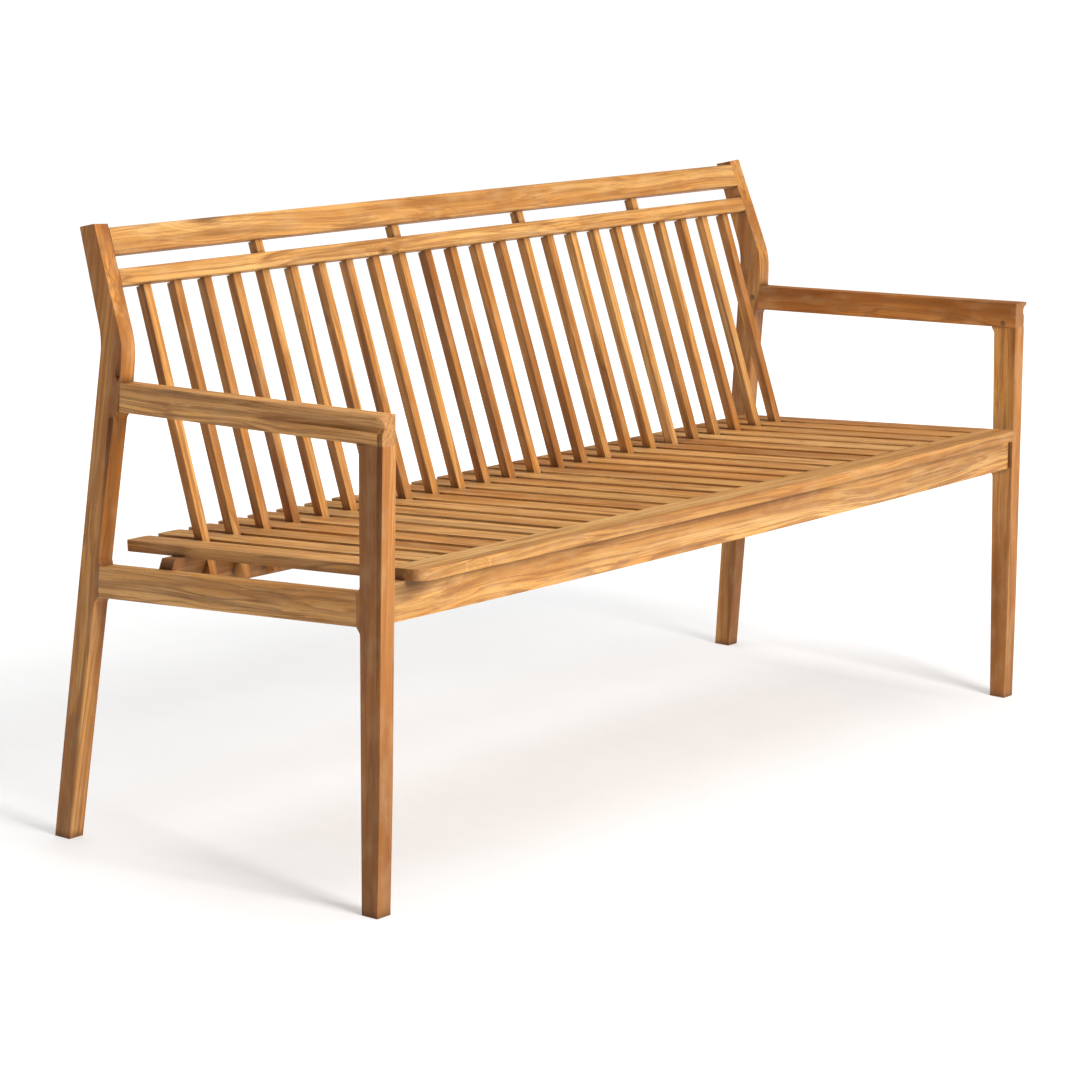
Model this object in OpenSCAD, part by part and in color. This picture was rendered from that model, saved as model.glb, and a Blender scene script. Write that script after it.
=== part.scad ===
// Slatted garden bench with armrests, in solid wood.
// X runs along the bench, -Y is the front, +Z is up, and left (+X) is the sitter's left.
// The origin is on the ground, in the middle of the footprint.

/* [Back posts] */
// Outer face of a back post at the ground, from the middle of the bench
post_foot_x = 778; // [772:1:784]
// How far a back post leans inward, per unit of height
post_lean = 0.059; // [0.052:0.001:0.065]
// Height of the bend in a back post
kink_z = 684; // [676:1:692]
// Height of the post tops
post_top_z = 835; // [828:1:846]

/* [Front legs] */
// Outer face of a front leg at the ground, from the middle of the bench
leg_foot_x = 769; // [765:1:773]
// How far a front leg leans inward, per unit of height
leg_lean = 0.015; // [0.01:0.001:0.018]
// Front-to-back depth of a front leg at the ground
leg_foot_d = 26; // [24:1:30]

/* [Side frames] */
// Thickness of the posts, legs and side rails
frame_t = 25; // [23:0.5:27]
// How far the armrest's lip stands out at the front
lip_out = 8; // [6:0.5:9]
// Width of the scooped hollow behind the front edge of legs and posts
hollow_w = 9; // [6:0.5:11]

/* [Seat] */
// Width of one seat slat
seat_slat_w = 43; // [40:0.5:43]
// Thickness of the seat slats
seat_slat_t = 15; // [14:0.5:16]
// Distance from one slat to the next
slat_pitch = 57.75; // [57.5:0.05:58.2]
// How far the front edge curves forward in the middle
seat_bow = 8; // [4:0.5:12]

/* [Back] */
// Width of one back slat
back_slat_w = 14.2; // [12:0.1:14.2]
// Thickness of one back slat
back_slat_t = 14.2; // [12:0.1:14.2]
// How far the back curves forward in the middle, at the seat
back_bow = 7; // [3:0.5:9]
// Distance from one back slat to the next at the second rail
top_pitch = 57.2; // [57.2:0.05:57.8]
// Thickness of the two back rails
back_rail_t = 17; // [16.5:0.5:20]

/* [Hidden] */
seat_count = 25;
back_count = 24;
bay = 5;

function two_digits(i) = str(i < 10 ? "0" : "", i);
function seat_slat_name(i) = str("seat_slat_", two_digits(i));
function long_slat_name(i) = str("long_back_slat_", two_digits(i));
function bay_name(i) = str("back_slats_", two_digits(i), "_to_", two_digits(i + bay - 2));

$fn = 48;
wood_pale = [0.87, 0.66, 0.42];
wood_mid = [0.80, 0.56, 0.32];
wood_deep = [0.70, 0.46, 0.25];
wood_dark = [0.33, 0.20, 0.12];
steel = [0.72, 0.72, 0.74];
far = 2000;
below = -20;

// Posts and legs seen from the side
post_front_y = 280;
post_back_y = 308;
post_front_slope = 0.1115;
post_back_slope = 0.0977;
post_top_d = 29;
post_tip_drop = 6;
kink_r = 100;
kink_front_drop = 4.5;
rake = 0.383;
leg_front_y = -275;
leg_back_slope = 0.019;
post_arm_block = 5;
post_rail_block = 4;
leg_block = 6;
block_fillet = 8;
hollow_setback = 0.6;
hollow_soft = 7;
hollow_lead = 3.5;
hollow_point_drop = 2;
post_hollow_gap = 30;
leg_hollow_end_z = 150;
leg_taper_z = 150;
leg_past_z = 700;
arm_block = 4;
arm_block_h = 10;

// Armrests: top line from back to front, and the scoop under the lip
arm_past_y = [260, -300];
arm_y = [208, leg_front_y];
arm_z = [629.5, 639.5];
arm_h = 38.5;
scoop_r = 10;
scoop_y = [122, leg_front_y];
scoop_z = [613, 625.5];
scoop_bite = 4;

// Side rails: top line from back to front
side_rail_y = [237, -234];
side_rail_z = [381, 412];
side_rail_h = 42;

// Seat plane, front board and apron
seat_rear_y = 228;
seat_rear_z = 412.3;
seat_rise = 0.0592;
seat_slat_r = 7;
board_w = 57;
board_front_y = -299;
board_half = 714;
board_corner_r = 19;
board_steps = 24;
apron_z = 376;
apron_t = 22;
apron_front_y = -270;
apron_bow = 12;
apron_corner_r = 6;
apron_steps = 24;

// Back slats: the line of the outermost slats' back faces, at the seat and at the second rail
slat_low = [140, 416];
slat_high = [251, 749];
slat_end_z = 357;

// Back rails: height of the lower front edge, and width up the rake
top_rail_z = 794;
top_rail_h = 37.5;
second_rail_z = 754;
second_rail_h = 23.5;
rail_edge_r = 3;

// Rear seat rail: its lower edge is further back than its upper edge
rear_rail_y = 115;
rear_rail_z = 401;
rear_rail_t = 24;
rear_rail_low_z = 351;
rear_rail_lean = 0.4;
rear_rail_steps = 24;
rear_rail_overrun = 1.02;

// Fixings: where the dowels are in each joint, and how far they go in
rail_dowel_dz = [-9, 9];
arm_dowel_dz = [-10, 10];
leg_dowel_dy = [11, 35];
apron_dowel_dz = [13, 39];
rear_dowel_dz = [13, 32];
dowel_in_rail = 22;
dowel_in_post = 18;
dowel_in_side = 15;
dowel_in_arm = 20;
peg_leg = [23, 6.5];
peg_post_dy = 11;
peg_depth = 10;
peg_proud = 0.4;
seat_screw_bite = 9;
back_screw_dz = 34;
back_screw_l = 20;
frame_dowel_d = 10;
thin_dowel_d = 8;
pin_d = 6;
peg_d = 8;
screw_d = 4;
screw_head_d = 8;

// Small plane geometry
function unit(v) = v / norm(v);
function turned(v, a) = [v[0] * cos(a) - v[1] * sin(a), v[0] * sin(a) + v[1] * cos(a)];
function angle_to(a, b) = atan2(cross(a, b), a * b);
function xy(p) = [p[0], p[1]];
function between(v, s) = v[0] + (v[1] - v[0]) * s;

// The arc that rounds the corner c between p and n with radius r
function corner(p, c, n, r, steps) =
    r == 0 ? [c] :
    let (u = unit(p - c), w = unit(n - c), half = acos(u * w) / 2,
         m = c + unit(u + w) * r / sin(half),
         a = c + u * r / tan(half) - m,
         b = c + w * r / tan(half) - m)
    [for (i = [0 : steps]) m + turned(a, angle_to(a, b) * i / steps)];

// An outline whose points may have a corner radius as their third value
function rounded(q, steps = 5) =
    let (k = len(q))
    [for (i = [0 : k - 1])
        let (c = q[i])
        each corner(xy(q[(i + k - 1) % k]), xy(c), xy(q[(i + 1) % k]),
                    len(c) > 2 ? c[2] : 0, steps)];

// Where the faces are at a given height, depth or length
function post_front(z) = post_front_y - post_front_slope * z;
function post_back(z) = post_back_y - post_back_slope * z;
function raked(z) = post_front(kink_z) + rake * (z - kink_z);
function post_x(z) = post_foot_x - post_lean * z;
function leg_x(z) = leg_foot_x - leg_lean * z;
function leg_back(z) = leg_front_y + 2 + leg_foot_d + leg_back_slope * z;
function arm_s(y) = (y - arm_y[0]) / (arm_y[1] - arm_y[0]);
function arm_top(y) = between(arm_z, arm_s(y));
function arm_low(y) = arm_top(y) - arm_h;
function arm_x(y) = between([post_x(arm_z[0]), leg_x(arm_low(leg_front_y))], arm_s(y));
function side_rail_s(y) = (y - side_rail_y[0]) / (side_rail_y[1] - side_rail_y[0]);
function side_rail_top(y) = between(side_rail_z, side_rail_s(y));
function side_rail_mid(y) = side_rail_top(y) - side_rail_h / 2;
function side_rail_x(y) =
    between([post_x(side_rail_mid(side_rail_y[0])), leg_x(side_rail_mid(side_rail_y[1]))],
            side_rail_s(y));
function seat_top(y) = seat_rear_z + (seat_rear_y - y) * seat_rise;
function slat_x(i, z) =
    (i - (back_count + 1) / 2)
    * between([slat_pitch, top_pitch], (z - slat_low[1]) / (slat_high[1] - slat_low[1]));
function slat_slope(i) = (slat_high[0] - slat_low_y(i)) / (slat_high[1] - slat_low[1]);
function slat_back(i, z) = slat_low_y(i) + (z - slat_low[1]) * slat_slope(i);
function seat_x(i) = (i - (seat_count + 1) / 2) * slat_pitch;
function bowed(x, half, bow) = -bow * (1 - pow(x / half, 2));
function slat_low_y(i) = slat_low[0] + bowed(slat_x(i, slat_low[1]), board_half, back_bow);
function board_rear(x) = board_front_y + board_w + bowed(x, board_half, seat_bow);
// Front face of the rear rail, as far forward as it is at length x
function rear_rail_front(x, z) =
    rear_rail_y + (rear_rail_z - z) * rear_rail_lean
    + bowed(x, board_half, back_bow) / cos(atan(rear_rail_lean));
function has_long_slat(i) = i % bay == 0;

// A sheet of thickness t that stands across X, from x on, with its outline in y and z
module across(x, t) {
    translate([x, 0, 0])
        rotate([90, 0, 90])
            linear_extrude(t)
                children();
}

// A round bar from point a to point b
module bar(a, b, d) {
    v = b - a;
    translate(a)
        rotate([0, acos(v[2] / norm(v)), atan2(v[1], v[0])])
            cylinder(h = norm(v), d = d);
}

// A countersunk screw from the middle of its head at a to its tip at b
module screw(a, b) {
    v = b - a;
    head_h = (screw_head_d - screw_d) / 2;
    translate(a)
        rotate([0, acos(v[2] / norm(v)), atan2(v[1], v[0])]) {
            cylinder(h = head_h, d1 = screw_head_d, d2 = screw_d);
            cylinder(h = norm(v), d = screw_d);
        }
}

module on_side(side) {
    mirror([side < 0 ? 1 : 0, 0, 0])
        children();
}

module on_both_sides() {
    on_side(-1)
        children();
    on_side(1)
        children();
}

// The leaning frames of a back post and a front leg, with the outer face at x = 0
module in_post() {
    translate([post_foot_x, 0, 0])
        rotate([0, -atan(post_lean), 0])
            children();
}

module in_leg() {
    translate([leg_foot_x, 0, 0])
        rotate([0, -atan(leg_lean), 0])
            children();
}

// Heights along a leaning member, so that they are true heights once it leans
function along(z, lean) = z * sqrt(1 + lean * lean);
function leaned(q, lean) = [for (p = q) [p[0], along(p[1], lean)]];

// The sloping frame of the seat: its top face is z = 0 and its rear ends are at y = 0
module in_seat() {
    translate([0, seat_rear_y, seat_rear_z])
        rotate([-atan(seat_rise), 0, 0])
            children();
}

module above_ground() {
    translate([-far, -far, 0])
        cube(2 * far);
}

module under_seat() {
    in_seat()
        translate([-far, -far, -2 * far - seat_slat_t])
            cube(2 * far);
}

module under_arm() {
    across(-far, 2 * far)
        polygon([[-far, below], [far, below], [far, arm_low(far)], [-far, arm_low(-far)]]);
}

// The space between the inner faces of a pair of leaning members
module inside(foot_x, lean) {
    reach = frame_t * sqrt(1 + lean * lean);
    top = far;
    low_x = foot_x - reach - lean * below;
    top_x = foot_x - reach - lean * top;
    rotate([90, 0, 0])
        translate([0, 0, -far])
            linear_extrude(2 * far)
                polygon([[-low_x, below], [low_x, below], [top_x, top], [-top_x, top]]);
}

module ahead_of_post(z, out) {
    span = 60;
    in_post()
        across(-far, 2 * far)
            polygon(leaned([
                [post_front(z - span) - out, z - span],
                [post_front(z + span) - out, z + span],
                [-far, z + span],
                [-far, z - span]], post_lean));
}

module behind_leg(z, out) {
    span = 60;
    in_leg()
        across(-far, 2 * far)
            polygon(leaned([
                [leg_back(z - span) + out, z - span],
                [leg_back(z + span) + out, z + span],
                [far, z + span],
                [far, z - span]], leg_lean));
}

function post_outline() =
    let (arm_lo = arm_low(arm_y[0]),
         arm_hi = arm_top(arm_y[0]),
         rail_hi = side_rail_top(side_rail_y[0]),
         rail_lo = rail_hi - side_rail_h,
         kink_front_z = kink_z - kink_front_drop,
         tip_y = raked(post_top_z))
    [[post_front(below), below],
     [post_front(rail_lo - block_fillet), rail_lo - block_fillet, block_fillet],
     [post_front(rail_lo) - post_rail_block, rail_lo, 1.5],
     [post_front(rail_hi) - post_rail_block, rail_hi, 1.5],
     [post_front(rail_hi + block_fillet), rail_hi + block_fillet, block_fillet],
     [post_front(arm_lo - block_fillet), arm_lo - block_fillet, block_fillet],
     [post_front(arm_lo) - post_arm_block, arm_lo, 1.5],
     [post_front(arm_hi) - post_arm_block, arm_hi],
     [raked(kink_front_z), kink_front_z, kink_r],
     [tip_y, post_top_z, 1.5],
     [tip_y + post_top_d * cos(atan(rake)), post_top_z - post_tip_drop, 1.5],
     [post_back(kink_z), kink_z, kink_r],
     [post_back(below), below]];

// A hollow in the outer face, full and soft-ended at the first height, run out at the second
module hollow(y_at_full, z_full, y_at_end, z_end) {
    y = [y_at_full, y_at_end] + [1, 1] * (hollow_w / 2 + hollow_setback);
    up = z_full > z_end ? 1 : -1;
    out = hollow_w / 2 + 0.3;
    bar([0, y[0], z_full], [out, y[1], z_end], hollow_w);
    bar([-0.3, y[0], z_full - up * 2], [out, y[0], z_full + up * hollow_soft], hollow_w * 0.92);
}

module post_hollows() {
    lower = [arm_low(arm_y[0]) - hollow_w, side_rail_top(side_rail_y[0]) + post_hollow_gap];
    upper = [arm_top(arm_y[0]) + hollow_w, kink_z - hollow_point_drop];
    hollow(post_front(lower[0]), lower[0], post_front(lower[1]), lower[1]);
    hollow(post_front(upper[0]) - hollow_lead, upper[0], raked(kink_z) - 1, upper[1]);
}

module leg_hollow() {
    hollow(leg_front_y, scoop_z[1] - hollow_w / 2, leg_front_y + 1, leg_hollow_end_z);
}

module back_post(side) {
    color(wood_mid)
        on_side(side)
            difference() {
                intersection() {
                    above_ground();
                    in_post()
                        across(-frame_t, frame_t)
                            polygon(leaned(rounded(post_outline()), post_lean));
                }
                in_post()
                    post_hollows();
                frame_joints();
                locking_pegs();
            }
}

function leg_outline() =
    let (arm_lo = arm_low(leg_front_y),
         rail_hi = side_rail_top(side_rail_y[1]),
         rail_lo = rail_hi - side_rail_h)
    [[leg_front_y, leg_past_z],
     [leg_front_y, leg_taper_z],
     [leg_front_y + 2, below],
     [leg_back(below), below],
     [leg_back(rail_lo - block_fillet), rail_lo - block_fillet, block_fillet],
     [leg_back(rail_lo) + leg_block, rail_lo, 1.5],
     [leg_back(rail_hi) + leg_block, rail_hi, 1.5],
     [leg_back(rail_hi + block_fillet), rail_hi + block_fillet, block_fillet],
     [leg_back(arm_lo - arm_block_h), arm_lo - arm_block_h, block_fillet],
     [leg_back(arm_lo) + arm_block, arm_lo - 2, 1],
     [leg_back(arm_lo) + arm_block, leg_past_z]];

module front_leg(side) {
    color(wood_mid)
        on_side(side)
            difference() {
                intersection() {
                    above_ground();
                    under_arm();
                    in_leg()
                        across(-frame_t, frame_t)
                            polygon(leaned(rounded(leg_outline()), leg_lean));
                }
                in_leg()
                    leg_hollow();
                frame_joints();
            }
}

// Level plan of an armrest, with the given overhang at the front
module arm_plan(lip, r) {
    back = arm_past_y[0];
    translate([0, 0, arm_low(back) - arm_h])
        linear_extrude(3 * arm_h)
            polygon(rounded([
                [arm_x(back), back],
                [arm_x(back) - frame_t, back],
                [arm_x(leg_front_y) - frame_t, leg_front_y, 1.5],
                [arm_x(leg_front_y) + lip, leg_front_y, r],
                [arm_x(scoop_y[0]), scoop_y[0]]]));
}

module armrest(side) {
    back = arm_past_y[0];
    front = arm_past_y[1];
    color(wood_mid)
        on_side(side)
            difference() {
                intersection() {
                    ahead_of_post(arm_z[0] - arm_h / 2, post_arm_block);
                    union() {
                        intersection() {
                            arm_plan(0, 1.5);
                            across(0, far)
                                polygon([[back, arm_low(back)], [back, arm_top(back)],
                                         [front, arm_top(front)], [front, arm_low(front)]]);
                        }
                        intersection() {
                            arm_plan(lip_out, 4);
                            across(0, far)
                                polygon([[back, arm_top(back)], [front, arm_top(front)],
                                         [scoop_y[1], scoop_z[1]], [scoop_y[0], scoop_z[0]]]);
                        }
                    }
                }
                arm_scoop();
                in_leg()
                    leg_hollow();
                frame_joints();
                locking_pegs();
            }
}

// The scoop is a point at its back end and bites into the arm's side at the front
module arm_scoop() {
    start = [arm_x(scoop_y[0]) + scoop_r, scoop_y[0], scoop_z[0]];
    end = [arm_x(scoop_y[1]) + scoop_r - scoop_bite, scoop_y[1], scoop_z[1]];
    bar(start, end + (end - start) / 10, 2 * scoop_r);
}

module side_rail(side) {
    overrun = 20;
    y0 = side_rail_y[0] + overrun;
    y1 = side_rail_y[1] - overrun;
    color(wood_mid)
        on_side(side)
            difference() {
                intersection() {
                    ahead_of_post(side_rail_mid(side_rail_y[0]), post_rail_block);
                    behind_leg(side_rail_mid(side_rail_y[1]), leg_block);
                    translate([0, 0, side_rail_z[0] - 2 * side_rail_h])
                        linear_extrude(4 * side_rail_h)
                            polygon([[side_rail_x(y0), y0], [side_rail_x(y0) - frame_t, y0],
                                     [side_rail_x(y1) - frame_t, y1], [side_rail_x(y1), y1]]);
                    across(0, far)
                        polygon([[y0, side_rail_top(y0)], [y1, side_rail_top(y1)],
                                 [y1, side_rail_top(y1) - side_rail_h],
                                 [y0, side_rail_top(y0) - side_rail_h]]);
                }
                frame_joints();
            }
}

module front_apron() {
    half = leg_x(apron_z) - frame_t;
    front = [for (i = [0 : apron_steps])
        let (x = half * (2 * i / apron_steps - 1), r = abs(x) > half - 1 ? apron_corner_r : 0)
        [x, apron_front_y + bowed(x, half, apron_bow), r]];
    back = [for (i = [apron_steps : -1 : 0])
        let (x = half * (2 * i / apron_steps - 1))
        [x, apron_front_y + apron_t + bowed(x, half, apron_bow)]];
    color(wood_mid)
        difference() {
            intersection() {
                inside(leg_foot_x, leg_lean);
                under_seat();
                translate([0, 0, apron_z])
                    linear_extrude(far)
                        polygon(rounded(concat(front, back)));
            }
            on_both_sides()
                frame_joints();
        }
}

module seat_front_board() {
    slope_fit = sqrt(1 + seat_rise * seat_rise);
    front = [for (i = [0 : board_steps])
        let (x = board_half * (2 * i / board_steps - 1),
             r = abs(x) > board_half - 1 ? board_corner_r : 0)
        [x, board_front_y + bowed(x, board_half, seat_bow), r]];
    rear = [for (i = [seat_count : -1 : 1], s = [1, -1])
        let (x = max(-board_half, min(board_half, seat_x(i) + s * seat_slat_w / 2)))
        [x, board_rear(x)]];
    color(wood_pale)
        difference() {
            in_seat()
                translate([0, 0, -seat_slat_t])
                    linear_extrude(seat_slat_t)
                        polygon([for (p = rounded(concat(front, rear)))
                            [p[0], (p[1] - seat_rear_y) * slope_fit]]);
            for (i = [1 : seat_count])
                seat_dowel(i);
        }
}

module seat_slat(i) {
    slope_fit = sqrt(1 + seat_rise * seat_rise);
    x0 = seat_x(i) - seat_slat_w / 2;
    x1 = seat_x(i) + seat_slat_w / 2;
    color(i % 3 == 0 ? wood_mid : wood_pale)
        difference() {
            in_seat()
                translate([0, 0, -seat_slat_t])
                    linear_extrude(seat_slat_t)
                        polygon(rounded([
                            [x0, 0, seat_slat_r],
                            [x0, (board_rear(x0) - seat_rear_y) * slope_fit],
                            [x1, (board_rear(x1) - seat_rear_y) * slope_fit],
                            [x1, 0, seat_slat_r]]));
            seat_dowel(i);
            seat_screw(i);
        }
}

// A back slat up to a rail whose lower front edge is at height top_z
module back_slat(i, top_z) {
    fan = atan((slat_x(i, slat_high[1]) - slat_x(i, slat_low[1])) / (slat_high[1] - slat_low[1]));
    intersection() {
        translate([slat_x(i, slat_end_z), slat_back(i, slat_end_z), slat_end_z])
            rotate([-atan(slat_slope(i)), fan, 0])
                translate([-back_slat_w / 2, -back_slat_t, 0])
                    cube([back_slat_w, back_slat_t, far]);
        translate([0, raked(top_z), top_z])
            rotate([-atan(rake), 0, 0])
                translate([-far, -far, -2 * far])
                    cube(2 * far);
    }
}

module finished_back_slat(i) {
    top_z = has_long_slat(i) ? top_rail_z : second_rail_z;
    color(has_long_slat(i) ? wood_pale : wood_mid)
        difference() {
            back_slat(i, top_z);
            back_pin(i);
            back_screw(i);
        }
}

module back_rail(z, h) {
    intersection() {
        inside(post_foot_x, post_lean);
        translate([0, raked(z), z])
            rotate([-atan(rake), 0, 0])
                across(-far, 2 * far)
                    polygon(rounded([
                        [0, 0, rail_edge_r], [back_rail_t, 0, rail_edge_r],
                        [back_rail_t, h, rail_edge_r], [0, h, rail_edge_r]], 3));
    }
}

module top_back_rail() {
    color(wood_mid)
        difference() {
            back_rail(top_rail_z, top_rail_h);
            for (i = [bay : bay : back_count])
                back_pin(i);
            on_both_sides()
                frame_joints();
        }
}

module second_back_rail() {
    color(wood_pale)
        difference() {
            back_rail(second_rail_z, second_rail_h);
            for (i = [1 : back_count])
                if (has_long_slat(i))
                    back_slat(i, top_rail_z);
                else
                    back_pin(i);
            on_both_sides()
                frame_joints();
        }
}

// The rear rail's band in plan, between the side rails and bowed like the back
module rear_rail_band() {
    half = (side_rail_x(rear_rail_y) - frame_t) * rear_rail_overrun;
    xs = [for (i = [0 : rear_rail_steps]) half * (2 * i / rear_rail_steps - 1)];
    front = [for (x = xs) [x, bowed(x, board_half, back_bow)]];
    back = [for (i = [rear_rail_steps : -1 : 0])
        [xs[i], rear_rail_t * cos(atan(rear_rail_lean)) + bowed(xs[i], board_half, back_bow)]];
    polygon(concat(front, back));
}

module rear_seat_rail() {
    plan_y = [0, 300];
    in_x = [for (y = plan_y) side_rail_x(y) - frame_t];
    h = rear_rail_z - rear_rail_low_z;
    color(wood_deep)
        difference() {
            intersection() {
                under_seat();
                translate([0, 0, rear_rail_low_z])
                    linear_extrude(2 * h)
                        polygon([[-in_x[0], plan_y[0]], [in_x[0], plan_y[0]],
                                 [in_x[1], plan_y[1]], [-in_x[1], plan_y[1]]]);
                translate([0, rear_rail_y, rear_rail_z])
                    rotate([atan(rear_rail_lean), 0, 0])
                        translate([0, 0, -2 * h])
                            linear_extrude(4 * h)
                                rear_rail_band();
            }
            for (i = [1 : back_count]) {
                back_slat(i, second_rail_z);
                back_screw(i);
            }
            for (i = [1 : seat_count])
                seat_screw(i);
            on_both_sides()
                frame_joints();
        }
}

// Dowels of the frame joints on the right-hand side, which are also their holes
module frame_joints() {
    half_t = frame_t / 2;
    post_end = side_rail_y[0];
    leg_end = side_rail_y[1];
    for (dz = rail_dowel_dz) {
        z_post = side_rail_mid(post_end) + dz;
        z_leg = side_rail_mid(leg_end) + dz;
        x_post = side_rail_x(post_end) - half_t;
        x_leg = side_rail_x(leg_end) - half_t;
        bar([x_post, post_end - dowel_in_rail, z_post],
            [x_post, post_end + dowel_in_post, z_post], frame_dowel_d);
        bar([x_leg, leg_end - dowel_in_post, z_leg],
            [x_leg, leg_end + dowel_in_rail, z_leg], frame_dowel_d);
    }
    for (dz = arm_dowel_dz) {
        z = arm_low(arm_y[0]) + arm_h / 2 + dz;
        bar([arm_x(arm_y[0]) - half_t, arm_y[0] - dowel_in_arm, z],
            [arm_x(arm_y[0]) - half_t, arm_y[0] + dowel_in_arm, z], thin_dowel_d);
    }
    for (dy = leg_dowel_dy) {
        y = leg_front_y + dy;
        bar([leg_x(arm_low(y)) - half_t, y, arm_low(y) - dowel_in_arm],
            [leg_x(arm_low(y)) - half_t, y, arm_low(y) + dowel_in_arm], thin_dowel_d);
    }
    for (dz = apron_dowel_dz)
        side_dowel(leg_x(apron_z) - frame_t, apron_front_y + apron_t / 2, apron_z + dz);
    for (rail = [[top_rail_z, top_rail_h / 4], [top_rail_z, top_rail_h * 3 / 4],
                 [second_rail_z, second_rail_h / 2]]) {
        tilt = atan(rake);
        z = rail[0] - back_rail_t / 2 * sin(tilt) + rail[1] * cos(tilt);
        side_dowel(post_x(z) - frame_t,
                   raked(rail[0]) + back_rail_t / 2 * cos(tilt) + rail[1] * sin(tilt), z);
    }
    for (dz = rear_dowel_dz) {
        z = rear_rail_low_z + dz;
        y = rear_rail_front(board_half, z) + rear_rail_t / 2;
        side_dowel(side_rail_x(y) - frame_t, y, z);
    }
}

// A dowel along X from a rail into a side frame whose inner face is at the given place
module side_dowel(face, y, z) {
    bar([face - dowel_in_rail, y, z], [face + dowel_in_side, y, z], thin_dowel_d);
}

// Pegs that lock the armrest's joints, on the right-hand side
module locking_pegs() {
    y_leg = leg_front_y + peg_leg[0];
    z_leg = arm_low(y_leg) + peg_leg[1];
    z_post = arm_low(arm_y[0]) + arm_h / 2;
    locking_peg(arm_x(y_leg), y_leg, z_leg);
    locking_peg(post_x(z_post), arm_y[0] + peg_post_dy, z_post);
}

// A peg along X, a little proud of the inner face of a member whose outer face is at x
module locking_peg(x, y, z) {
    bar([x - frame_t - peg_proud, y, z], [x - peg_depth, y, z], peg_d);
}

module frame_dowels() {
    color(wood_pale)
        on_both_sides()
            frame_joints();
}

module joint_pegs() {
    color(wood_dark)
        on_both_sides()
            locking_pegs();
}

module seat_dowel(i) {
    y = board_rear(seat_x(i));
    reach = 18;
    mid_t = seat_slat_t / 2;
    bar([seat_x(i), y - reach, seat_top(y - reach) - mid_t],
        [seat_x(i), y + reach, seat_top(y + reach) - mid_t], thin_dowel_d);
}

module seat_slat_dowels() {
    color(wood_pale)
        for (i = [1 : seat_count])
            seat_dowel(i);
}

// Pin between the top end of a back slat and the rail above it
module back_pin(i) {
    z = has_long_slat(i) ? top_rail_z : second_rail_z;
    reach = 12;
    half_t = back_slat_t / 2;
    bar([slat_x(i, z - reach), slat_back(i, z - reach) - half_t, z - reach],
        [slat_x(i, z + reach), slat_back(i, z + reach) - half_t, z + reach], pin_d);
}

module back_slat_dowels() {
    color(wood_pale)
        for (i = [1 : back_count])
            back_pin(i);
}

// Screw from under the rear rail up into a seat slat
module seat_screw(i) {
    head_z = rear_rail_low_z;
    tip_z = rear_rail_z + seat_screw_bite;
    mid_t = rear_rail_t / 2;
    screw([seat_x(i), rear_rail_front(seat_x(i), head_z) + mid_t, head_z],
          [seat_x(i), rear_rail_front(seat_x(i), tip_z) + mid_t, tip_z]);
}

module seat_slat_screws() {
    color(steel)
        for (i = [1 : seat_count])
            seat_screw(i);
}

// Screw from behind the rear rail into a back slat
module back_screw(i) {
    z = rear_rail_low_z + back_screw_dz;
    x = slat_x(i, z);
    head_y = rear_rail_front(x, z) + rear_rail_t;
    screw([x, head_y, z], [x, head_y - back_screw_l, z - back_screw_l * rear_rail_lean]);
}

module back_slat_screws() {
    color(steel)
        for (i = [1 : back_count])
            back_screw(i);
}

front_leg(1);  // left_front_leg
front_leg(-1);  // right_front_leg
back_post(1);  // left_back_post
back_post(-1);  // right_back_post
armrest(1);  // left_armrest
armrest(-1);  // right_armrest
side_rail(1);  // left_side_rail
side_rail(-1);  // right_side_rail
front_apron();
rear_seat_rail();
top_back_rail();
second_back_rail();
seat_front_board();
for (i = [1 : seat_count])
    seat_slat(i);
for (i = [bay : bay : back_count])
    finished_back_slat(i);
for (i = [1 : bay : back_count])
    for (k = [i : i + bay - 2]) finished_back_slat(k);
frame_dowels();
seat_slat_dowels();
back_slat_dowels();
seat_slat_screws();
back_slat_screws();
joint_pegs();
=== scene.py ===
# The garden bench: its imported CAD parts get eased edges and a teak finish, and one studio view.
import math
import random

import bpy
from mathutils import Matrix, Vector


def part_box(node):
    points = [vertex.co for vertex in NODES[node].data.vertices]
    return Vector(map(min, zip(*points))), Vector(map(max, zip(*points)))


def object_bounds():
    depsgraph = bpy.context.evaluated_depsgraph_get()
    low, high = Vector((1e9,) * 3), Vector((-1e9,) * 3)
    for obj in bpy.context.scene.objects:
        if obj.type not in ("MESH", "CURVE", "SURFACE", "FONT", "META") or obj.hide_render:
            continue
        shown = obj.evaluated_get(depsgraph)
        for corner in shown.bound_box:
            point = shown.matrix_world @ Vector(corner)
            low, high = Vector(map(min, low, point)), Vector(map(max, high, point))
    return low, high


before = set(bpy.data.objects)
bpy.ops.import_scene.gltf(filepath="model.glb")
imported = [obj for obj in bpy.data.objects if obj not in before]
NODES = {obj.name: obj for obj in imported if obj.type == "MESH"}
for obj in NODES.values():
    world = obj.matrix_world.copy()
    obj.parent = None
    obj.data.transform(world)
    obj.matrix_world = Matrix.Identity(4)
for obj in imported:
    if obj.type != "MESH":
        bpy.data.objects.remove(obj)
cad_lo, cad_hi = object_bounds()

random.seed(7)

# ---------------------------------------------------------------- the wood's measures
# The way the grain runs in the log, and the slopes that it follows in the leaning members
X = (1, 0, 0)
LEG_LEAN = 0.015
POST_LEAN = 0.059
POST_FORWARD = 0.1
ARM_TURN_IN = 0.04
ARM_FALL = 0.02
RAIL_TURN_IN = 0.02
SEAT_FALL = 0.06
BACK_SLOPE = 0.333
# Lean of the two back rails' front faces
RAIL_TILT = 0.383
# Spacing of the back slats about midway up
SLAT_PITCH = 0.0575

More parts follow.
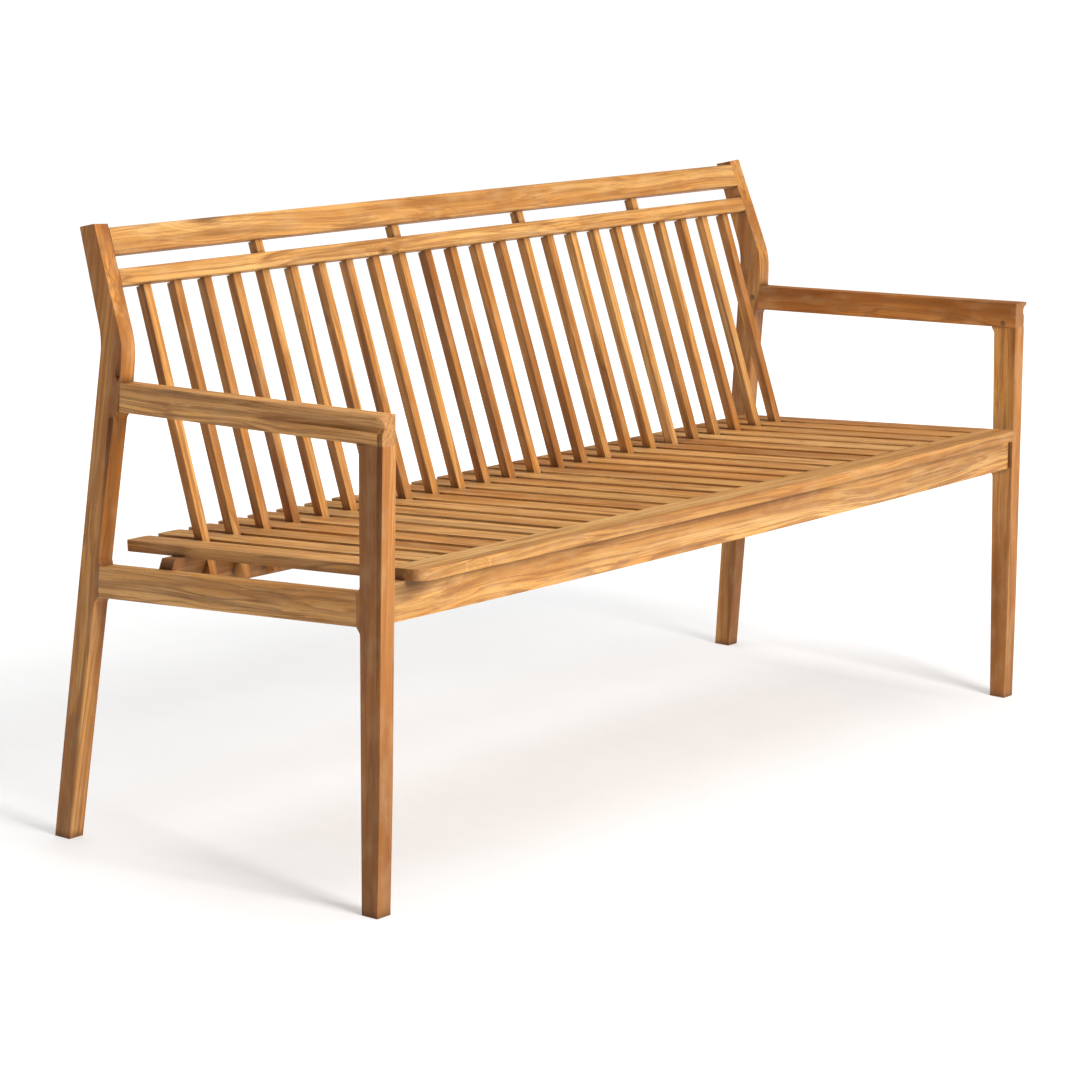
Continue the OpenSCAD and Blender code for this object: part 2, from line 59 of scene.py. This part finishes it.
# Width of the eased edges on the wood, the thin back slats and the pegs
EASE = 0.0018
SLAT_EASE = 0.0012
PEG_EASE = 0.0005
EASE_SEGMENTS = 3
# Edges that turn by more degrees than these are eased, and are shaded as sharp
EASE_ANGLE = 38
SHARP_ANGLE = 34
# Vertices closer than this are joined, and faces that turn by less than this many radians merge
WELD_GAP = 1e-5
FLAT_ANGLE = 0.0006

# A growth ring's width, and where the pith lies across the grain
RING_WIDTH = 0.0085
PITH = (0.0, 0.05, 0.03)
# A piece is cut from the log within this distance of its middle, and slats that share a material
# are moved by up to this much along the grain and across it
LOG_REACH = 4
SLAT_SHIFT = (8.0, 0.03, 0.03)
# The spread of shades among slats that share a material, and how much a knot is drawn out
# along the grain
SLAT_SHADES = 0.5
KNOT_STRETCH = 0.55
# Reach of the painted shade that darkens hollows, gaps and inner corners
PAINTED_SHADE_REACH = 0.014

# Each figure in the wood: its repeats per metre along the grain and across it
FIGURES = {
    "sway": (2.2, 5.0), "ripple": (14.0, 40.0), "ring wander": (0.0, 60.0),
    "fibres": (9.0, 900.0), "threads": (1.4, 210.0), "pores": (60.0, 1700.0),
    "patches": (1.6, 26.0), "streaks": (1.0, 48.0), "veins": (0.8, 42.0),
    "mottle": (22.0, 60.0), "end pores": (200.0, 1400.0)}
# The colour of each figure, of knots, of end grain, and of the painted shade in hollows
TONES = {
    "late wood": (0.19, 0.072, 0.020, 1), "threads": (0.25, 0.100, 0.028, 1),
    "fibres": (0.24, 0.100, 0.030, 1), "streaks": (0.11, 0.046, 0.018, 1),
    "veins": (0.16, 0.058, 0.016, 1), "pores": (0.12, 0.048, 0.015, 1),
    "mottle": (0.64, 0.46, 0.25, 1), "knots": (0.085, 0.030, 0.009, 1),
    "end grain": (0.27, 0.125, 0.046, 1), "end rings": (0.115, 0.043, 0.015, 1),
    "end pores": (0.12, 0.045, 0.016, 1), "painted hollow shade": (0.075, 0.026, 0.008, 1)}
# The wood between the figures, from dark patches to pale ones
BASE_TONES = (
    (0.10, (0.23, 0.088, 0.020)),
    (0.34, (0.36, 0.155, 0.038)),
    (0.55, (0.49, 0.240, 0.068)),
    (0.76, (0.57, 0.315, 0.105)),
    (0.95, (0.66, 0.405, 0.165)))
YELLOW_TINT = (1.0, 1.0, 0.94, 1)
RED_TINT = (1.0, 0.81, 0.60, 1)

# How pale each frame piece is. The right armrest and right side rail are made paler, partly as painted
# light on their outer sides
SHADES = {"left_front_leg": 0.2, "right_front_leg": -0.6, "left_back_post": -0.2,
          "right_back_post": -0.15, "left_armrest": -0.3, "right_armrest": 0.85,
          "left_side_rail": 0.1, "right_side_rail": 0.85, "front_apron": 0.3,
          "seat_front_board": 0.25, "rear_seat_rail": -0.5, "top_back_rail": 0.3,
          "second_back_rail": 0.25}
# The knots of each long piece: the way in from its right end, the share of its height, the radius
KNOTS = {"front_apron": ((0.030, 0.82, 0.075),),
         "seat_front_board": ((0.105, 0.4, 0.016),),
         "top_back_rail": ((0.185, 1.15, 0.060), (0.670, -0.1, 0.040)),
         "second_back_rail": ((0.52, 0.3, 0.020),)}

# ---------------------------------------------------------------- the studio's measures
FLOOR_HALF = 60.0
# The floor's own glow: in the open, its share near the bench, and the distances it rises between
FLOOR_GLOW = 0.90
NEAR_GLOW = 0.38
GLOW_FROM = 0.6
GLOW_TO = 3.2
WORLD_LIGHT = 0.18
# Each softbox: its offset from the bench's middle, width and depth, watts and colour
SOFTBOXES = {
    "key": ((-0.8, -5.0, 2.4), (1.8, 1.8), 375, (1.0, 0.985, 0.96)),
    "top": ((0.2, 0.0, 3.6), (4.0, 2.5), 135, (1, 1, 1))}
# The camera: its place, its lens and sensor in millimetres, and its angles in degrees,
# turned from +Y toward +X, tipped down and rolled
CAMERA_PLACE = (-3.699, -2.896, 1.274)
CAMERA_LENS = 108.7
CAMERA_SENSOR = 36
CAMERA_ANGLES = (51.09, 11.31, 0.49)
VIEW_DEPTH = 100


# ---------------------------------------------------------------- node helpers
class Graph:
    """A node tree with short calls for the nodes that the materials use."""

    def __init__(self, tree):
        self.tree = tree

    def link(self, value, socket):
        """Feeds a socket from another one, or sets it to a plain value."""
        if isinstance(value, bpy.types.NodeSocket):
            self.tree.links.new(value, socket)
        elif value is not None:
            socket.default_value = value

    def node(self, kind, inputs=(), **settings):
        made = self.tree.nodes.new(kind)
        for name, value in settings.items():
            setattr(made, name, value)
        for key, value in dict(inputs).items():
            self.link(value, made.inputs[key])
        return made

    def math(self, operation, a, b=None, c=None, clamp=False):
        made = self.node("ShaderNodeMath", operation=operation, use_clamp=clamp)
        for socket, value in zip(made.inputs, (a, b, c)):
            self.link(value, socket)
        return made.outputs[0]

    def vector(self, operation, a, b=None):
        made = self.node("ShaderNodeVectorMath", operation=operation)
        self.link(a, made.inputs[0])
        self.link(b, made.inputs[1])
        return made.outputs["Value" if operation in ("LENGTH", "DOT_PRODUCT") else "Vector"]

    def noise(self, vector, scale, detail, rough, colour=False):
        made = self.node("ShaderNodeTexNoise", {
            "Vector": vector, "Scale": scale, "Detail": detail, "Roughness": rough})
        return made.outputs["Color" if colour else "Fac"]

    def figure(self, name, place, detail, rough, colour=False):
        """Noise stretched along X, the way of the grain, by the named figure's repeats."""
        along, across = FIGURES[name]
        stretched = self.vector("MULTIPLY", place, (along, across, across))
        return self.noise(stretched, 1.0, detail, rough, colour)

    def smooth(self, value, low, high, to_low=0.0, to_high=1.0):
        """Takes the span from low to high smoothly to the span from to_low to to_high."""
        made = self.node("ShaderNodeMapRange", {
            "Value": value, "From Min": low, "From Max": high,
            "To Min": to_low, "To Max": to_high}, interpolation_type="SMOOTHSTEP")
        return made.outputs["Result"]

    def mix(self, factor, a, b, blend="MIX"):
        made = self.node("ShaderNodeMix", data_type="RGBA", blend_type=blend)
        self.link(factor, made.inputs["Factor"])
        self.link(a, made.inputs[6])
        self.link(b, made.inputs[7])
        return made.outputs[2]

    def ramp(self, value, stops):
        """A colour ramp with only the given stops."""
        made = self.node("ShaderNodeValToRGB", {"Fac": value})
        steps = made.color_ramp.elements
        while len(steps) > 1:
            steps.remove(steps[-1])
        steps[0].position = stops[0][0]
        steps[0].color = (*stops[0][1], 1)
        for place, colour in stops[1:]:
            steps.new(place).color = (*colour, 1)
        return made.outputs["Color"]


def socket(tree, name, kind, value=None, out=False):
    """Gives a node group one more input or output."""
    made = tree.interface.new_socket(name, in_out="OUTPUT" if out else "INPUT", socket_type=kind)
    if value is not None:
        made.default_value = value


# ---------------------------------------------------------------- teak
def teak_group():
    """Teak sawn from a log: growth rings round a pith line along X, with fibres, pores and streaks."""
    tree = bpy.data.node_groups.new("teak", "ShaderNodeTree")
    socket(tree, "Place", "NodeSocketVector")
    socket(tree, "Facing", "NodeSocketVector")
    socket(tree, "Shade", "NodeSocketFloat", 0.0)
    socket(tree, "Red", "NodeSocketFloat", 0.0)
    socket(tree, "Streaks", "NodeSocketFloat", 0.5)
    socket(tree, "Knot", "NodeSocketFloat", 0.0)
    socket(tree, "Shader", "NodeSocketShader", out=True)
    g = Graph(tree)
    given = tree.nodes.new("NodeGroupInput").outputs
    place = given["Place"]

    # Slow waves along the grain bend the rings into arches
    sway = g.figure("sway", place, 2.0, 0.45, colour=True)
    sway = g.vector("MULTIPLY", g.vector("SUBTRACT", sway, (0.5, 0.5, 0.5)), (0.0, 0.05, 0.05))
    ripple = g.figure("ripple", place, 3.0, 0.5, colour=True)
    ripple = g.vector("MULTIPLY", g.vector("SUBTRACT", ripple, (0.5, 0.5, 0.5)), (0.0, 0.003, 0.003))
    log = g.vector("ADD", g.vector("ADD", place, sway), ripple)
    across = g.vector("MULTIPLY", g.vector("SUBTRACT", log, PITH), (0.02, 1.0, 1.0))
    radius = g.vector("LENGTH", across)
    rings = g.math("DIVIDE", radius, RING_WIDTH)
    rings = g.math("MULTIPLY_ADD", g.figure("ring wander", across, 2.0, 0.6), 2.0, rings)
    rings = g.math("MULTIPLY_ADD", given["Knot"], 5.0, rings)
    step = g.math("FRACT", rings)
    number = g.math("FLOOR", rings)
    ring_tone = g.node("ShaderNodeTexWhiteNoise", {"W": number}, noise_dimensions="1D").outputs["Value"]
    late = g.math("POWER", step, 3.0)
    late = g.math("MULTIPLY", late, g.smooth(step, 1.0, 0.86))
    late = g.math("MULTIPLY", late, g.smooth(ring_tone, 0.15, 0.9, 0.25, 1.0))

    # Fine fibres, long pores and broad patches
    fibres = g.figure("fibres", log, 3.0, 0.6)
    threads = g.figure("threads", log, 3.0, 0.6)
    pores = g.smooth(g.figure("pores", log, 1.0, 0.5), 0.64, 0.74)
    patches = g.figure("patches", log, 2.0, 0.6)
    streaks = g.math("MULTIPLY", g.smooth(g.figure("streaks", log, 3.0, 0.55), 0.57, 0.74),
                     given["Streaks"])
    # A vein runs where its noise passes through the middle value
    from_middle = g.math("SUBTRACT", g.figure("veins", log, 1.0, 0.5), 0.5)
    veins = g.smooth(g.math("ABSOLUTE", from_middle), 0.022, 0.0)
    mottle = g.figure("mottle", place, 3.0, 0.5)

    spread = g.math("MULTIPLY_ADD", patches, 1.9, -0.45)
    base = g.ramp(g.math("MULTIPLY_ADD", given["Shade"], 0.5, spread), BASE_TONES)
    tint = g.mix(g.math("MULTIPLY_ADD", given["Red"], 0.5, 0.5, clamp=True), YELLOW_TINT, RED_TINT)
    colour = g.mix(1.0, base, tint, "MULTIPLY")
    ring_shift = g.math("MULTIPLY_ADD", ring_tone, 0.26, 0.84)
    colour = g.mix(1.0, colour, g.node("ShaderNodeCombineColor", {
        "Red": ring_shift, "Green": ring_shift, "Blue": ring_shift}).outputs[0], "MULTIPLY")
    for cover, tone in ((g.math("MULTIPLY", late, 0.95), "late wood"),
                        (g.smooth(threads, 0.46, 0.62, 0.0, 0.68), "threads"),
                        (g.smooth(fibres, 0.35, 0.75, 0.0, 0.26), "fibres"),
                        (g.math("MULTIPLY", streaks, 0.75), "streaks"),
                        (g.math("MULTIPLY", veins, 0.5), "veins"),
                        (g.math("MULTIPLY", pores, 0.35), "pores"),
                        (g.smooth(mottle, 0.4, 0.8, 0.0, 0.16), "mottle"),
                        (g.smooth(given["Knot"], 0.70, 1.0, 0.0, 0.75), "knots")):
        colour = g.mix(cover, colour, TONES[tone])

    # End grain is darker, with its rings in full view
    end = g.smooth(g.math("ABSOLUTE", g.vector("DOT_PRODUCT", given["Facing"], X)), 0.72, 0.9)
    end_colour = g.mix(g.math("MULTIPLY", late, 0.75), TONES["end grain"], TONES["end rings"])
    end_pores = g.smooth(g.figure("end pores", place, 1.0, 0.5), 0.55, 0.7, 0.0, 0.5)
    end_colour = g.mix(end_pores, end_colour, TONES["end pores"])
    colour = g.mix(g.math("MULTIPLY", end, 0.6), colour, end_colour)

    rough = g.math("MULTIPLY_ADD", fibres, 0.16, 0.42)
    rough = g.math("MULTIPLY_ADD", late, -0.06, rough)
    rough = g.math("MULTIPLY_ADD", pores, 0.12, rough)
    height = g.math("MULTIPLY_ADD", pores, -0.8, g.math("MULTIPLY", fibres, 0.5))
    height = g.math("MULTIPLY_ADD", late, 0.35, height)

    # Painted shade: hollows, inner corners and the gaps between parts are darkened the more they are
    # closed in, as shade falls there
    open_sky = g.node("ShaderNodeAmbientOcclusion", {"Distance": PAINTED_SHADE_REACH},
                      samples=4).outputs["AO"]
    colour = g.mix(g.smooth(open_sky, 0.93, 0.46, 0.0, 0.9), colour, TONES["painted hollow shade"])

    bump = g.node("ShaderNodeBump", {"Strength": 0.22, "Distance": 0.0006, "Height": height})
    surface = g.node("ShaderNodeBsdfPrincipled", {
        "Base Color": colour, "Roughness": rough, "Normal": bump.outputs[0],
        "Specular IOR Level": 0.22})
    g.link(surface.outputs[0], tree.nodes.new("NodeGroupOutput").inputs[0])
    return tree


TEAK = teak_group()


def teak(name, along, shade, red, streaks, pitch=0.0, knots=()):
    """A teak material whose grain runs along the given direction, cut from its own place in a log.

    With a pitch, the slats that share the material are each cut from a place of their own.
    Each knot is a point in the bench's frame and a radius.
    """
    made = bpy.data.materials.new(name)
    made.use_nodes = True
    tree = made.node_tree
    tree.nodes.clear()
    g = Graph(tree)
    turn = Vector(along).normalized().rotation_difference(Vector(X)).to_euler()
    # The draws are a place in the log. Only the one along the grain is used, because a move of
    # metres across it would take the piece far from the pith
    shift = [random.uniform(-LOG_REACH, LOG_REACH) for _ in range(3)]
    source = tree.nodes.new("ShaderNodeTexCoord").outputs
    place = g.node("ShaderNodeMapping", {"Vector": source["Object"], "Rotation": turn})
    local = g.vector("ADD", place.outputs[0], (shift[0], 0.0, 0.0))
    if pitch:
        spot = g.node("ShaderNodeSeparateXYZ", {"Vector": source["Object"]}).outputs["X"]
        number = g.math("FLOOR", g.math("DIVIDE", spot, pitch))
        lot = g.node("ShaderNodeTexWhiteNoise", {"W": number}, noise_dimensions="1D").outputs
        local = g.vector("ADD", local, g.vector("MULTIPLY", lot["Color"], SLAT_SHIFT))
        shade = g.math("MULTIPLY_ADD", lot["Value"], SLAT_SHADES, shade - SLAT_SHADES / 2)
    knot = 0.0
    for centre, radius in knots:
        away = g.vector("MULTIPLY", g.vector("SUBTRACT", source["Object"], centre),
                        [1 - KNOT_STRETCH * abs(part) for part in Vector(along).normalized()])
        knot = g.math("MAXIMUM", knot, g.smooth(g.vector("LENGTH", away), radius, 0.0))
    facing = g.node("ShaderNodeMapping", {"Vector": source["Normal"], "Rotation": turn},
                    vector_type="VECTOR")
    group = tree.nodes.new("ShaderNodeGroup")
    group.node_tree = TEAK
    for key, value in (("Place", local), ("Facing", facing.outputs[0]), ("Shade", shade),
                       ("Red", red), ("Streaks", streaks), ("Knot", knot)):
        g.link(value, group.inputs[key])
    g.link(group.outputs[0], tree.nodes.new("ShaderNodeOutputMaterial").inputs["Surface"])
    return made


def plain(name, scale, stops, rough, metal=0.0):
    """A fine-grained material for the small fixings: a mottled colour between the given stops."""
    made = bpy.data.materials.new(name)
    made.use_nodes = True
    tree = made.node_tree
    g = Graph(tree)
    surface = tree.nodes["Principled BSDF"]
    place = tree.nodes.new("ShaderNodeTexCoord").outputs["Object"]
    grain = g.noise(g.vector("MULTIPLY", place, scale), 1.0, 3.0, 0.6)
    spots = g.noise(place, 900.0, 2.0, 0.5)
    relief = g.node("ShaderNodeBump", {"Strength": 0.1, "Distance": 0.0004, "Height": grain})
    for key, value in (("Base Color", g.ramp(g.math("MULTIPLY_ADD", spots, 0.3, grain), stops)),
                       ("Roughness", g.math("MULTIPLY_ADD", grain, 0.2, rough - 0.1)),
                       ("Metallic", metal), ("Normal", relief.outputs[0])):
        g.link(value, surface.inputs[key])
    return made


# ---------------------------------------------------------------- eased edges
def shading_group():
    """Smooth shading with edges above a limit kept sharp."""
    tree = bpy.data.node_groups.new("smooth_by_angle", "GeometryNodeTree")
    socket(tree, "Geometry", "NodeSocketGeometry")
    socket(tree, "Geometry", "NodeSocketGeometry", out=True)
    g = Graph(tree)
    given = tree.nodes.new("NodeGroupInput").outputs[0]
    angle = tree.nodes.new("GeometryNodeInputMeshEdgeAngle").outputs["Unsigned Angle"]
    sharp = g.node("FunctionNodeCompare", {0: angle, 1: math.radians(SHARP_ANGLE)},
                   data_type="FLOAT", operation="GREATER_THAN").outputs[0]
    smooth = g.node("GeometryNodeSetShadeSmooth", {"Geometry": given, "Shade Smooth": True},
                    domain="FACE")
    creased = g.node("GeometryNodeSetShadeSmooth", {
        "Geometry": smooth.outputs[0], "Selection": sharp, "Shade Smooth": False}, domain="EDGE")
    g.link(creased.outputs[0], tree.nodes.new("NodeGroupOutput").inputs[0])
    return tree


SMOOTH = shading_group()


def ease(obj, width):
    """Rounds a piece's arrises, as sanding does, and keeps its flats flat."""
    weld = obj.modifiers.new("weld", "WELD")
    weld.merge_threshold = WELD_GAP
    flat = obj.modifiers.new("flat", "DECIMATE")
    flat.decimate_type = "DISSOLVE"
    flat.angle_limit = FLAT_ANGLE
    if width:
        bevel = obj.modifiers.new("ease", "BEVEL")
        bevel.width = width
        bevel.segments = EASE_SEGMENTS
        bevel.limit_method = "ANGLE"
        bevel.angle_limit = math.radians(EASE_ANGLE)
        bevel.use_clamp_overlap = True
    shade = obj.modifiers.new("shade", "NODES")
    shade.node_group = SMOOTH
    normals = obj.modifiers.new("normals", "WEIGHTED_NORMAL")
    normals.keep_sharp = True


def finish(obj, material, width):
    """Gives a piece its material and its eased edges."""
    obj.data.materials.clear()
    obj.data.materials.append(material)
    ease(obj, width)


DOWEL = plain("dowel", (60, 900, 900), ((0.35, (0.38, 0.24, 0.11)), (0.8, (0.54, 0.37, 0.20))), 0.6)
PEG = plain("peg", (500, 500, 500), ((0.4, (0.055, 0.024, 0.010)), (0.9, (0.20, 0.095, 0.040))), 0.55)
STEEL = plain("steel", (500, 500, 60), ((0.3, (0.42, 0.42, 0.43)), (0.9, (0.66, 0.66, 0.67))),
              0.32, metal=1.0)


def knots_of(node, lo, hi):
    """The centres and radii of the knots that show on a piece's front face."""
    tilt = RAIL_TILT if node.endswith("back_rail") else 0.0
    height = hi.z - lo.z
    return [(Vector((lo.x + way, lo.y + up * height * tilt, lo.z + up * height)), size)
            for way, up, size in KNOTS.get(node, ())]


for node, obj in NODES.items():
    lo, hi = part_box(node)
    side = 1 if lo.x + hi.x > 0 else -1
    if node.endswith("front_leg"):
        finish(obj, teak(node, (-side * LEG_LEAN, 0, 1), SHADES[node], red=0.5, streaks=0.8), EASE)
    elif node.endswith("back_post"):
        finish(obj, teak(node, (-side * POST_LEAN, -POST_FORWARD, 1), SHADES[node],
                         red=0.5, streaks=0.6), EASE)
    elif node.endswith("armrest"):
        finish(obj, teak(node, (-side * ARM_TURN_IN, 1, -ARM_FALL), SHADES[node],
                         red=0.9, streaks=0.6), EASE)
    elif node.endswith("side_rail"):
        finish(obj, teak(node, (-side * RAIL_TURN_IN, 1, -SEAT_FALL), SHADES[node],
                         red=0.5, streaks=0.6), EASE)
    elif node.startswith("seat_slat_") and node[-1].isdigit():
        # The first seat slat shows its whole side, and is made pale, partly as painted light on that
        # side
        tone = 0.85 if node == "seat_slat_01" else random.uniform(0.05, 0.9)
        finish(obj, teak(node, (0, 1, -SEAT_FALL), tone,
                         red=random.uniform(-0.4, 1.0), streaks=random.uniform(0.1, 1.0)), EASE)
    elif node.startswith("back_slats") or node.startswith("long_back"):
        finish(obj, teak(node, (0, BACK_SLOPE, 1), shade=0.2, red=0.3,
                         streaks=random.uniform(0.3, 0.8), pitch=SLAT_PITCH), SLAT_EASE)
    elif node.endswith("screws"):
        finish(obj, STEEL, 0)
    elif node.endswith("pegs"):
        finish(obj, PEG, PEG_EASE)
    elif node.endswith("dowels"):
        finish(obj, DOWEL, 0)
    else:
        finish(obj, teak(node, X, SHADES[node], red=-0.6, streaks=0.35,
                         knots=knots_of(node, lo, hi)), EASE)


# ---------------------------------------------------------------- studio
def floor():
    """A pale floor that glows more away from the bench, so that it fades out."""
    mesh = bpy.data.meshes.new("studio_floor")
    corners = [(x * FLOOR_HALF, y * FLOOR_HALF, 0) for x, y in ((-1, -1), (1, -1), (1, 1), (-1, 1))]
    mesh.from_pydata(corners, [], [(0, 1, 2, 3)])
    made = bpy.data.objects.new("studio_floor", mesh)
    bpy.context.scene.collection.objects.link(made)
    material = bpy.data.materials.new("studio_floor")
    material.use_nodes = True
    surface = material.node_tree.nodes["Principled BSDF"]
    g = Graph(material.node_tree)
    place = material.node_tree.nodes.new("ShaderNodeTexCoord").outputs["Object"]
    mottle = g.smooth(g.noise(place, 3.0, 4.0, 0.6), 0.3, 0.7, 0.60, 0.63)
    glow = g.smooth(g.vector("LENGTH", place), GLOW_FROM, GLOW_TO,
                    NEAR_GLOW * FLOOR_GLOW, FLOOR_GLOW)
    for key, value in (("Base Color", mottle), ("Roughness", 0.9),
                       ("Emission Color", (1, 1, 1, 1)), ("Emission Strength", glow)):
        g.link(value, surface.inputs[key])
    mesh.materials.append(material)


def softbox(name, place, aim, size, power, colour):
    """A soft rectangular light that faces a point."""
    data = bpy.data.lights.new(name, "AREA")
    data.shape = "RECTANGLE"
    data.size, data.size_y = size
    data.energy = power
    data.color = colour
    made = bpy.data.objects.new(name, data)
    made.location = place
    made.rotation_euler = (Vector(aim) - Vector(place)).to_track_quat("-Z", "Y").to_euler()
    bpy.context.scene.collection.objects.link(made)


def camera():
    """The camera, from its place and angles."""
    turn, down, roll = (math.radians(angle) for angle in CAMERA_ANGLES)
    look = Vector((math.sin(turn) * math.cos(down), math.cos(turn) * math.cos(down), -math.sin(down)))
    right = Vector((math.cos(turn), -math.sin(turn), 0))
    above = right.cross(look)
    right, above = (right * math.cos(roll) + above * math.sin(roll),
                    above * math.cos(roll) - right * math.sin(roll))
    data = bpy.data.cameras.new("camera")
    data.sensor_width = CAMERA_SENSOR
    data.lens = CAMERA_LENS
    data.clip_end = VIEW_DEPTH
    made = bpy.data.objects.new("camera", data)
    made.matrix_world = Matrix((
        (right.x, above.x, -look.x, CAMERA_PLACE[0]),
        (right.y, above.y, -look.y, CAMERA_PLACE[1]),
        (right.z, above.z, -look.z, CAMERA_PLACE[2]),
        (0, 0, 0, 1)))
    bpy.context.scene.collection.objects.link(made)
    bpy.context.scene.camera = made


def studio():
    """The floor, the softboxes and a faint white surround."""
    floor()
    middle = (cad_lo + cad_hi) / 2
    for name, (offset, size, power, colour) in SOFTBOXES.items():
        softbox(name, middle + Vector(offset), middle, size, power, colour)
    world = bpy.data.worlds.new("studio")
    world.use_nodes = True
    background = world.node_tree.nodes["Background"]
    background.inputs["Color"].default_value = (1, 1, 1, 1)
    background.inputs["Strength"].default_value = WORLD_LIGHT
    bpy.context.scene.world = world
    bpy.context.scene.view_settings.view_transform = "Standard"


camera()
studio()
